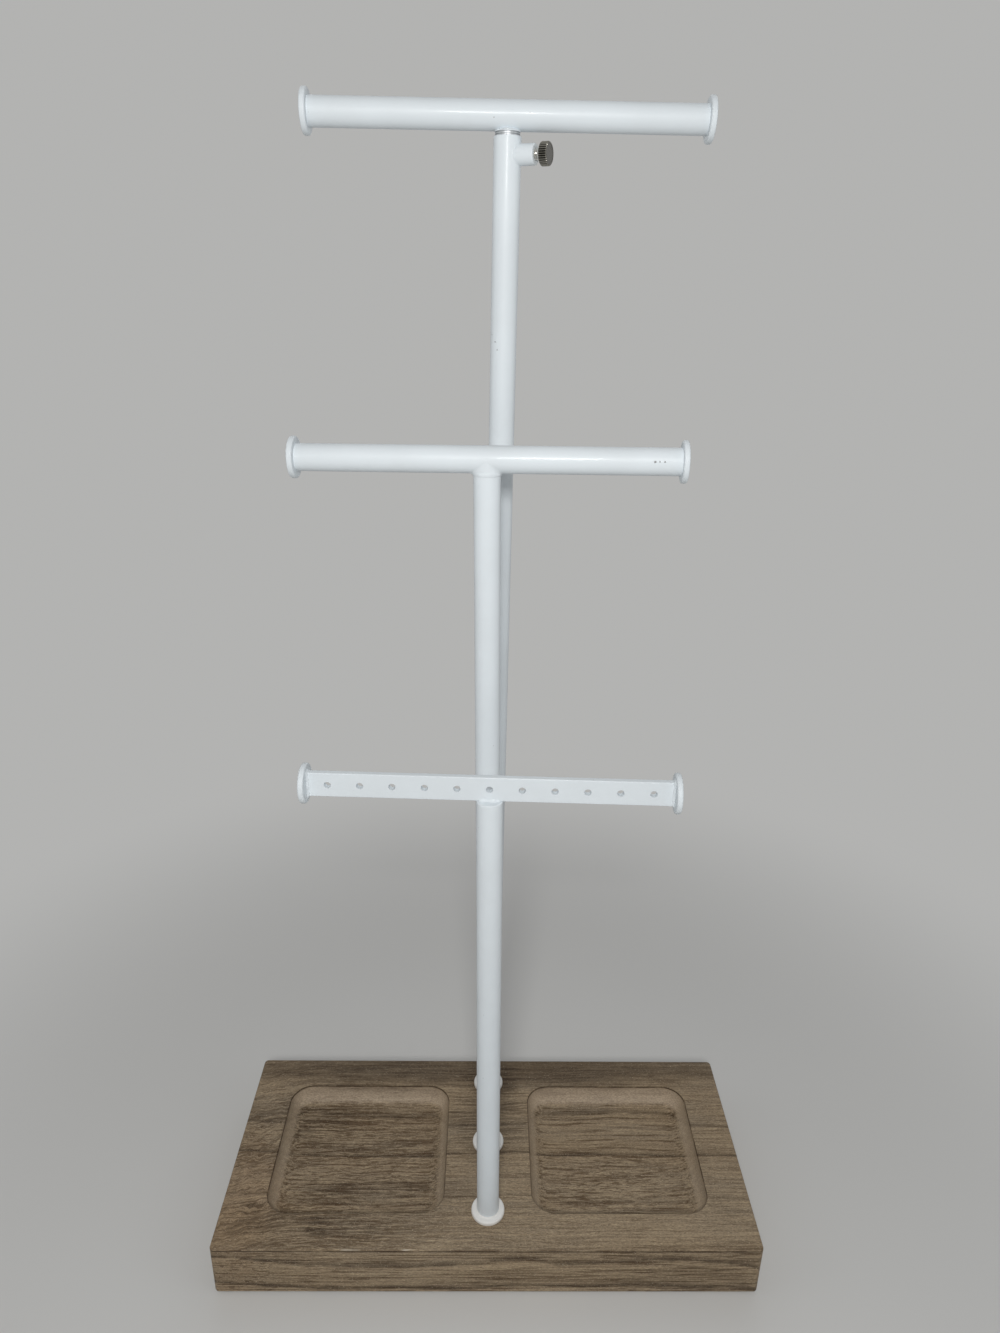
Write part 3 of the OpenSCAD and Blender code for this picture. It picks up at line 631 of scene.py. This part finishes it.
def makePowderCoat():
    material, tree, shader = newFinish(
        "whitePowderCoat", Specular_IOR_Level=0.22, Coat_Weight=0.06, Coat_Roughness=0.08
    )
    place = millimetres(tree)
    marks = useGroup(tree, handling, **{"Place": place, "Size": 28.0, "Speck Rarity": 0.94})
    chips = chippedPlaces(tree, place)
    z = addNode(tree, "ShaderNodeSeparateXYZ", {0: place}).outputs[2]
    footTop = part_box("base_board")[1].z / mm + coat["footHeight"]
    foot = mapSmooth(tree, z, footTop + 0.4, footTop)
    colour = mixColour(tree, product(tree, marks.outputs["Mask"], 0.6), coat["white"], coat["shade"])
    # Painted light: the flanges, which face up, take a lighter and warmer white.
    colour = mixColour(tree, product(tree, foot, 0.9), colour, coat["litFootWhite"])
    colour = mixColour(tree, product(tree, marks.outputs["Specks"], 0.3), colour, coat["primer"])
    colour = mixColour(tree, product(tree, chips, 0.75), colour, coat["primer"])
    step = 1 / coat["peelSize"]
    peel = stretchedNoise(tree, place, (step, step, step), 1.0, 0.4, 1.0)
    grain = stretchedNoise(tree, place, (4.0, 4.0, 4.0), 2.0, 0.6, 2.0)
    height = calc(tree, "MULTIPLY_ADD", grain, coat["grainHeight"], product(tree, peel, coat["peelHeight"]))
    height = calc(tree, "MULTIPLY_ADD", chips, -coat["chipDepth"], height)
    roughness = calc(tree, "MULTIPLY_ADD", grain, 0.06, coat["roughness"])
    roughness = calc(tree, "MULTIPLY_ADD", marks.outputs["Mask"], 0.07, roughness)
    feed(tree, shader, Base_Color=colour, Roughness=roughness, Normal=bumped(tree, height))
    return material


powderCoat = makePowderCoat()
dress(powderCoat, "white_paint")
print("powder coat done")

# The flanges at the feet of the posts.
flange = {
    "sides": 72,
    "rimRound": 0.95,  # millimetres
    "footRound": 0.25,
    "fillet": 0.6,  # paint that has run into the corner beside the post
}


# Section of the ring from the post outwards, as distance from the axis and height.
def flangeSection(tube, rim, thick):
    f = flange
    section = [(tube, 0)]
    section += arcPoints((rim - f["footRound"], f["footRound"]), f["footRound"], -90, 0, 3)
    section += arcPoints((rim - f["rimRound"], thick - f["rimRound"]), f["rimRound"], 0, 78, 7)
    section += arcPoints((tube + f["fillet"], thick + f["fillet"]), f["fillet"], 270, 190, 6)
    section.append((tube, thick + f["fillet"] + 0.1))
    return section


def makeFlanges():
    for row, tubeNode in (("front", "_post_tube"), ("middle", "_post_tube"), ("rear", "_post_sleeve")):
        node, tube = row + "_post_flange", row + tubeNode
        middle = middleOf(node)
        axis = (middleOf(tube) - middle).normalized()
        level, _ = squareTo(axis)
        low, high = reachOf(node, middle, axis)
        rim = reachOf(node, middle, level)[1]
        post = reachOf(tube, middle, level)[1]
        rings = []
        for out, up in flangeSection(post / mm, rim / mm, (high - low) / mm):
            centre = middle + axis * (low + up * mm)
            rings.append(circlePoints(centre, axis, lambda turn: out * mm, flange["sides"]))
        skinned(row + "Flange", rings, True, powderCoat, "stand", [node], 40)


makeFlanges()
print("flanges done")

# The weld beads on the earring bar and around the middle post, in millimetres.
beads = {
    "leg": 0.75,
    "lumps": 0.45,  # share of the leg by which it swells and shrinks
    "lumpSize": 1.3,
    "crown": 0.2,  # share of the leg by which an end bead bulges
    "sunk": 0.15,
    "barCorner": 0.4,
    "footLeg": 0.7,
    "footInset": 0.6,  # how far the foot's beads stay inside the post's top
    "footSunk": 0.1,
    "footOverlap": 0.03,
    "footSteps": 24,
    "bandSides": 72,
    "bandSteps": 8,
    "bandHalf": 0.9,  # half the height of the bead around the middle post
    "bandProud": 0.24,
    "bandEdge": 0.06,  # how deep its edges lie in the post
    "bandSunk": 0.3,  # how deep its hidden side lies
    "bandBelow": 5.0,  # below the middle of the bar
}


# A leg that swells and shrinks with its place, the same in each run.
def lumpyLeg(point, leg):
    return leg * (1 + beads["lumps"] * 2 * noise.noise(point / (beads["lumpSize"] * mm)))


# Points and outward directions around a bar's rounded rectangular section.
def stripOutline(halfThick, halfHigh, corner, across, up, perSide=14):
    outline = []
    corners = [(1, 1, 0), (-1, 1, 90), (-1, -1, 180), (1, -1, 270)]
    for number, (sx, sz, start) in enumerate(corners):
        cx, cz = sx * (halfThick - corner), sz * (halfHigh - corner)
        for k in range(4):
            turn = math.radians(start + 30 * k)
            out = math.cos(turn) * across + math.sin(turn) * up
            outline.append((cx * across + cz * up + corner * out, out))
        if number % 2:
            start, out = outline[-1]
            end = (cx * across - cz * up) + corner * out
            outline += [(start.lerp(end, k / perSide), out) for k in range(1, perSide)]
    return outline


def makeEndBead(side, along, across, up, material):
    cap = "earring_bar_cap_" + ("left" if side < 0 else "right")
    centre = (middleOf("earring_bar_cap_left") + middleOf("earring_bar_cap_right")) / 2
    face = min(abs(step) for step in reachOf(cap, centre, along))
    halfThick = reachOf("earring_bar", centre, across)[1]
    halfHigh = reachOf("earring_bar", centre, up)[1]
    inward = -side * along
    rings = []
    for spot, out in stripOutline(halfThick, halfHigh, beads["barCorner"] * mm, across, up):
        root = centre + side * face * along + spot
        leg = lumpyLeg(root, beads["leg"] * mm)
        toe = lumpyLeg(root + Vector((0, 0, 0.02)), beads["leg"] * mm)
        sunk = beads["sunk"] * mm
        ring = [root - out * sunk, root + out * leg]
        for bow in (0.25, 0.5, 0.75):
            turn = bow * math.pi / 2
            crown = beads["crown"] * math.sin(2 * turn)
            rise = leg * (1 - math.sin(turn) + crown)
            run = toe * (1 - math.cos(turn) + crown)
            ring.append(root + out * rise + inward * run)
        ring += [root + inward * toe, root - out * sunk + inward * toe]
        rings.append(ring)
    name = "earringWeld" + ("Left" if side < 0 else "Right")
    replaced = ["earring_bar_welds"] if side < 0 else []
    skinned(name, rings, True, material, "stand", replaced, 60)


def makeFootBeads(along, across, up, material):
    centre = (middleOf("earring_bar_cap_left") + middleOf("earring_bar_cap_right")) / 2
    halfThick = reachOf("earring_bar", centre, across)[1]
    underside = reachOf("earring_bar", centre, up)[0]
    post = reachOf("front_post_tube", middleOf("front_post_tube"), squareTo(up)[0])[1]
    post -= beads["footInset"] * mm
    leg, sunk, overlap = (beads[name] * mm for name in ("footLeg", "footSunk", "footOverlap"))
    for side, name in ((-1, "footWeldFront"), (1, "footWeldBack")):
        half = math.sqrt(post ** 2 - (halfThick + leg) ** 2)
        out = across * side
        rings = []
        for k in range(beads["footSteps"] + 1):
            shift = half * (2 * k / beads["footSteps"] - 1)
            root = centre + up * underside + out * halfThick + along * shift
            ends = math.sqrt(max(1 - (shift / half) ** 4, 0.02))
            size = lumpyLeg(root, leg) * ends
            ring = [root - out * sunk - up * overlap, root + out * size - up * overlap]
            ring += [root + out * size * 0.4 + up * size * 0.34, root + out * size * 0.12 + up * size * 0.72]
            ring += [root + up * size, root - out * sunk + up * size]
            rings.append(ring)
        skinned(name, rings, False, material, "stand", [], 60)


def makePostBand(material):
    foot = middleOf("middle_post_flange")
    axis = (middleOf("middle_post_tube") - foot).normalized()
    level, upward = squareTo(axis)
    post = reachOf("middle_post_tube", foot, level)[1]
    barMiddle = (middleOf("middle_bar_cap_left") + middleOf("middle_bar_cap_right")) / 2
    height = (barMiddle - foot).dot(axis) - beads["bandBelow"] * mm
    centre = foot + axis * height
    rings = []
    for k in range(beads["bandSides"]):
        turn = 2 * math.pi * k / beads["bandSides"]
        out = math.cos(turn) * level + math.sin(turn) * upward
        swell = lumpyLeg(centre + out * post, 1.0)
        ring = []
        for step in range(beads["bandSteps"] + 1):
            bow = math.pi * step / beads["bandSteps"]
            proud = beads["bandProud"] * swell * math.sin(bow) ** 1.5 - beads["bandEdge"]
            ring.append(centre + out * (post + proud * mm) + axis * beads["bandHalf"] * math.cos(bow) * mm)
        ring.append(centre + out * (post - beads["bandSunk"] * mm))
        rings.append(ring)
    skinned("middlePostBead", rings, True, material, "stand", [], 60)


def makeBeads(material):
    along = (middleOf("earring_bar_cap_right") - middleOf("earring_bar_cap_left")).normalized()
    up = (middleOf("front_post_tube") - middleOf("front_post_flange")).normalized()
    up = (up - along * up.dot(along)).normalized()
    across = up.cross(along)
    makeEndBead(-1, along, across, up, material)
    makeEndBead(1, along, across, up, material)
    makeFootBeads(along, across, up, material)
    makePostBand(material)


makeBeads(powderCoat)
print("weld beads done")

# The bare stem, the zinc plated fasteners and the nickel plated thumb screw.
steel = {
    "bright": (0.64, 0.66, 0.68, 1),
    "dull": (0.36, 0.38, 0.40, 1),
    "turned": 0.72,  # millimetres from one turning mark to the next, near the stem's end, where the colour bands with them as painted reflection
    "turnedDepth": 0.005,
    "turnedLength": 2.6,
    "roughness": 0.52,
}
zinc = {"bright": (0.66, 0.66, 0.64, 1), "dull": (0.50, 0.50, 0.48, 1), "roughness": 0.28}
nickel = {
    "plate": (0.44, 0.425, 0.38, 1),
    "worn": (0.30, 0.285, 0.25, 1),
    "face": (0.155, 0.149, 0.136, 1),
    "neck": (0.780, 0.770, 0.740, 1),
    # the flutes' hollows: grime, and painted shade
    "grimeAndShade": (0.012, 0.011, 0.008, 1),
    "turnedLine": 0.16,  # millimetres from one fine ring of the face to the next
    "roughness": 0.2,
}


def makeBareSteel():
    material, tree, shader = newFinish("bareSteel", Metallic=1.0)
    place = millimetres(tree)
    drawn = useGroup(tree, scratches, Place=place, Stretch=(5.0, 5.0, 0.03), Rarity=0.55)
    marks = useGroup(tree, handling, Place=place, Size=12.0)
    z = addNode(tree, "ShaderNodeSeparateXYZ", {0: place}).outputs[2]
    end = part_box("top_bar_stub")[1].z / mm
    nearEnd = mapSmooth(tree, z, end - steel["turnedLength"] - 0.6, end - steel["turnedLength"])
    wave = calc(tree, "SINE", product(tree, calc(tree, "SUBTRACT", z, end), 2 * math.pi / steel["turned"]))
    turned = product(tree, wave, nearEnd)
    colour = mixColour(tree, product(tree, drawn.outputs["Mask"], 0.7), steel["bright"], steel["dull"])
    # Painted reflection: dull bands near the stem's end, in step with the turning marks.
    colour = mixColour(tree, mapSmooth(tree, turned, 0.5, -0.3), colour, steel["dull"])
    roughness = calc(tree, "MULTIPLY_ADD", marks.outputs["Mask"], 0.1, steel["roughness"])
    roughness = calc(tree, "MULTIPLY_ADD", drawn.outputs["Mask"], 0.15, roughness)
    height = product(tree, drawn.outputs["Mask"], -0.003)
    height = calc(tree, "MULTIPLY_ADD", turned, steel["turnedDepth"], height)
    feed(tree, shader, Base_Color=colour, Roughness=roughness, Normal=bumped(tree, height))
    return material


def makeZinc():
    material, tree, shader = newFinish("zincPlate", Metallic=1.0)
    place = millimetres(tree)
    marks = useGroup(tree, handling, Place=place, Size=3.0)
    lines = useGroup(tree, scratches, Place=place, Stretch=(1.5, 1.5, 6.0), Rarity=0.6)
    colour = mixColour(tree, marks.outputs["Mask"], zinc["bright"], zinc["dull"])
    roughness = calc(tree, "MULTIPLY_ADD", lines.outputs["Mask"], 0.1, zinc["roughness"])
    roughness = calc(tree, "MULTIPLY_ADD", marks.outputs["Mask"], 0.2, roughness)
    height = product(tree, lines.outputs["Mask"], -0.004)
    feed(tree, shader, Base_Color=colour, Roughness=roughness, Normal=bumped(tree, height))
    return material


def makeNickel():
    material, tree, shader = newFinish("darkNickel", Metallic=1.0)
    place = millimetres(tree)
    reach, along = aroundScrew(tree, place)
    marks = useGroup(tree, handling, Place=place, Size=2.5)
    lines = useGroup(tree, scratches, Place=place, Stretch=(3.0, 3.0, 3.0), Rarity=0.62)
    turned = calc(tree, "SINE", product(tree, reach, 2 * math.pi / nickel["turnedLine"]))
    low, high = (end / mm for end in reachOf("thumb_screw_knob", screwMiddle, screwAxis))
    rim = reachOf("thumb_screw_knob", screwMiddle, screwLevel)[1] / mm
    onSide = between(tree, along, low + 0.1, high - 0.3, 0.1)
    groove = product(tree, mapSmooth(tree, reach, rim - 0.06, rim - 0.26), onSide)
    onFace = mapSmooth(tree, along, high - 0.3, high - 0.15)
    onFace = product(tree, onFace, mapSmooth(tree, reach, rim - 0.2, rim - 0.5))
    onNeck = mapSmooth(tree, along, low - 0.05, low - 0.2)
    colour = mixColour(tree, product(tree, marks.outputs["Mask"], 0.5), nickel["plate"], nickel["worn"])
    colour = mixColour(tree, onFace, colour, nickel["face"])
    colour = mixColour(tree, onNeck, colour, nickel["neck"])
    # The flutes' hollows darkened near black: grime and painted shade.
    colour = mixColour(tree, product(tree, groove, 0.95), colour, nickel["grimeAndShade"])
    roughness = calc(tree, "MULTIPLY_ADD", marks.outputs["Mask"], 0.12, nickel["roughness"])
    roughness = calc(tree, "MULTIPLY_ADD", groove, 0.25, roughness)
    height = calc(tree, "MULTIPLY_ADD", turned, 0.0006, product(tree, lines.outputs["Mask"], -0.002))
    feed(tree, shader, Base_Color=colour, Roughness=roughness, Normal=bumped(tree, height))
    return material


darkNickel = makeNickel()
dress(makeBareSteel(), "bare_steel")
dress(makeZinc(), "zinc_steel")
dress(darkNickel, "dark_nickel")
print("metals done")

# The thumb screw's fluted head and its thread.
knob = {
    "flutes": 32,
    "perFlute": 8,
    "depth": 0.42,  # millimetres
    "bevel": 0.3,
    "faceRing": 0.8,  # width of the slightly raised ring on the outer face
    "faceDrop": 0.08,
}
thread = {"pitch": 0.7, "depth": 0.4, "perTurn": 8, "sides": 32, "neck": 1.1, "point": 0.6}


# A fluted radius: flat-topped ridges with hollows between them.
def flutedRadius(radius, depth):
    def radiusAt(turn):
        hollow = 0.5 - 0.5 * math.cos(turn * knob["flutes"])
        return radius - depth * hollow ** 0.8
    return radiusAt


def makeKnob(material):
    low, high = reachOf("thumb_screw_knob", screwMiddle, screwAxis)
    rim = reachOf("thumb_screw_knob", screwMiddle, screwLevel)[1]
    bevel, depth = knob["bevel"] * mm, knob["depth"] * mm
    bevelled, inner, faceDrop = rim - bevel * 1.3, rim - knob["faceRing"] * mm, knob["faceDrop"] * mm
    stations = [
        (low, bevelled, 0.0),
        (low + bevel, rim, depth),
        (high - bevel, rim, depth),
        (high, bevelled, 0.0),
        (high, inner, 0.0),
        (high - faceDrop, inner - faceDrop, 0.0),
    ]
    count = knob["flutes"] * knob["perFlute"]
    rings = []
    for along, radius, cutIn in stations:
        centre = screwMiddle + screwAxis * along
        rings.append(circlePoints(centre, screwAxis, flutedRadius(radius, cutIn), count))
    skinned("knurledKnob", rings, False, material, "knob", ["thumb_screw_knob"], 28)


# The stud's thread runs to a short plain neck beside the knob.
def makeStud(material):
    t = thread
    low, high = reachOf("thumb_screw_stud", screwMiddle, screwAxis)
    major = reachOf("thumb_screw_stud", screwMiddle, screwLevel)[1] - 0.03 * mm
    knobFace = reachOf("thumb_screw_knob", screwMiddle, screwAxis)[0]
    threadEnd = knobFace - t["neck"] * mm
    pitch, depth = t["pitch"] * mm, t["depth"] * mm
    steps = math.ceil((high - low) / pitch * t["perTurn"])
    rings = []
    for k in range(steps + 1):
        along = low + (high - low) * k / steps

        def radiusAt(turn, along=along):
            phase = (along / pitch - turn / (2 * math.pi)) % 1
            ridge = min(1, 1.3 * abs(2 * phase - 1))
            fadeIn = min(1, (along - low) / (t["point"] * mm))
            fadeOut = min(1, max(0, (threadEnd - along) / (0.4 * mm)))
            core = major - depth * (1 - 0.35 * (1 - fadeOut))
            return core + (major - core) * ridge * fadeIn * fadeOut

        rings.append(circlePoints(screwMiddle + screwAxis * along, screwAxis, radiusAt, t["sides"]))
    skinned("threadedStud", rings, False, material, "thumb_screw", ["thumb_screw_stud"], 60)


makeKnob(darkNickel)
makeStud(darkNickel)
print("thumb screw done")

# The foam pads under the base.
foam = {
    "black": (0.035, 0.035, 0.036, 1),
    "worn": (0.09, 0.088, 0.085, 1),
    "cell": 0.35,  # millimetres across
    "cellHeight": 0.08,
    "roughness": 0.9,
}


def makeFoam():
    material, tree, shader = newFinish("padFoam", Roughness=foam["roughness"], Specular_IOR_Level=0.2)
    place = millimetres(tree)
    cellInputs = {"Vector": place, "Scale": 1 / foam["cell"]}
    cells = addNode(tree, "ShaderNodeTexVoronoi", cellInputs).outputs["Distance"]
    marks = useGroup(tree, handling, Place=place, Size=5.0)
    colour = mixColour(tree, marks.outputs["Mask"], foam["black"], foam["worn"])
    height = product(tree, cells, foam["cellHeight"])
    feed(tree, shader, Base_Color=colour, Normal=bumped(tree, height))
    return material


dress(makeFoam(), "pad_foam")
print("pads done")

# The floor, the backdrop that it fades into, and the even light from all around.
studio = {
    "floor": (0.72, 0.72, 0.708, 1),
    "backdrop": (0.45, 0.45, 0.442, 1),
    "floorRadius": 12.0,  # metres, as the next two
    "fadeFrom": 0.17,
    "fadeTo": 0.48,
    "floorSides": 96,
    "ambient": 0.18,
}


# The floor takes the stand's shadow near it and turns into the even backdrop further out.
def makeFloor():
    material, tree, shader = newFinish(
        "paleFloor", Base_Color=studio["floor"], Roughness=0.85, Specular_IOR_Level=0.1
    )
    mesh = bpy.data.meshes.new("floor")
    floor = bpy.data.objects.new("floor", mesh)
    sides = studio["floorSides"]
    rim = circlePoints(Vector(), Vector((0, 0, 1)), lambda turn: studio["floorRadius"], sides)
    mesh.from_pydata(rim, [], [range(sides)])
    bpy.context.scene.collection.objects.link(floor)
    place = addNode(tree, "ShaderNodeTexCoord").outputs["Object"]
    distance = vectorCalc(tree, "LENGTH", place).outputs["Value"]
    fade = mapSmooth(tree, distance, studio["fadeFrom"], studio["fadeTo"])
    glow = addNode(tree, "ShaderNodeEmission", {"Color": studio["backdrop"], "Strength": 1.0})
    mixed = addNode(tree, "ShaderNodeMixShader", {0: fade, 1: shader.outputs[0], 2: glow.outputs[0]})
    output = next(node for node in tree.nodes if node.type == "OUTPUT_MATERIAL")
    tree.links.new(mixed.outputs[0], output.inputs["Surface"])
    mesh.materials.append(material)


def makeWorld():
    world = bpy.data.worlds.new("studio")
    world.use_nodes = True
    tree = world.node_tree
    tree.nodes.clear()
    path = addNode(tree, "ShaderNodeLightPath")
    seen = calc(tree, "MAXIMUM", path.outputs["Is Camera Ray"], path.outputs["Is Glossy Ray"])
    seen = calc(tree, "MAXIMUM", seen, path.outputs["Is Transmission Ray"])
    backdrop = addNode(tree, "ShaderNodeBackground", {"Color": studio["backdrop"], "Strength": 1.0})
    ambient = addNode(tree, "ShaderNodeBackground", {"Color": (1, 1, 1, 1), "Strength": studio["ambient"]})
    mixed = addNode(tree, "ShaderNodeMixShader", {0: seen, 1: ambient.outputs[0], 2: backdrop.outputs[0]})
    addNode(tree, "ShaderNodeOutputWorld", {0: mixed.outputs[0]})
    bpy.context.scene.world = world


# Square lamps that face the stand: (name, place, metres across, watts, colour).
lamps = [
    ("keyLamp", (-0.02, -0.50, 0.57), 0.10, 2.15, (1.0, 0.99, 0.97)),
    ("rightFill", (0.85, -0.35, 0.60), 0.6, 0.7, (0.96, 0.98, 1.0)),
    ("leftFill", (-0.9, -0.1, 0.6), 0.6, 0.6, (1.0, 1.0, 1.0)),
    ("backLamp", (0.1, 0.9, 0.9), 1.6, 2.2, (1.0, 1.0, 1.0)),
]


def makeLamps():
    middle = Vector((0, 0, (cadBox[0].z + cadBox[1].z) / 2))
    for name, place, across, watts, colour in lamps:
        data = bpy.data.lights.new(name, "AREA")
        data.size = across
        data.energy = watts
        data.color = colour
        lamp = bpy.data.objects.new(name, data)
        lamp.location = place
        lamp.rotation_euler = (middle - Vector(place)).to_track_quat("-Z", "Y").to_euler()
        bpy.context.scene.collection.objects.link(lamp)


makeFloor()
makeWorld()
makeLamps()
print("studio done")
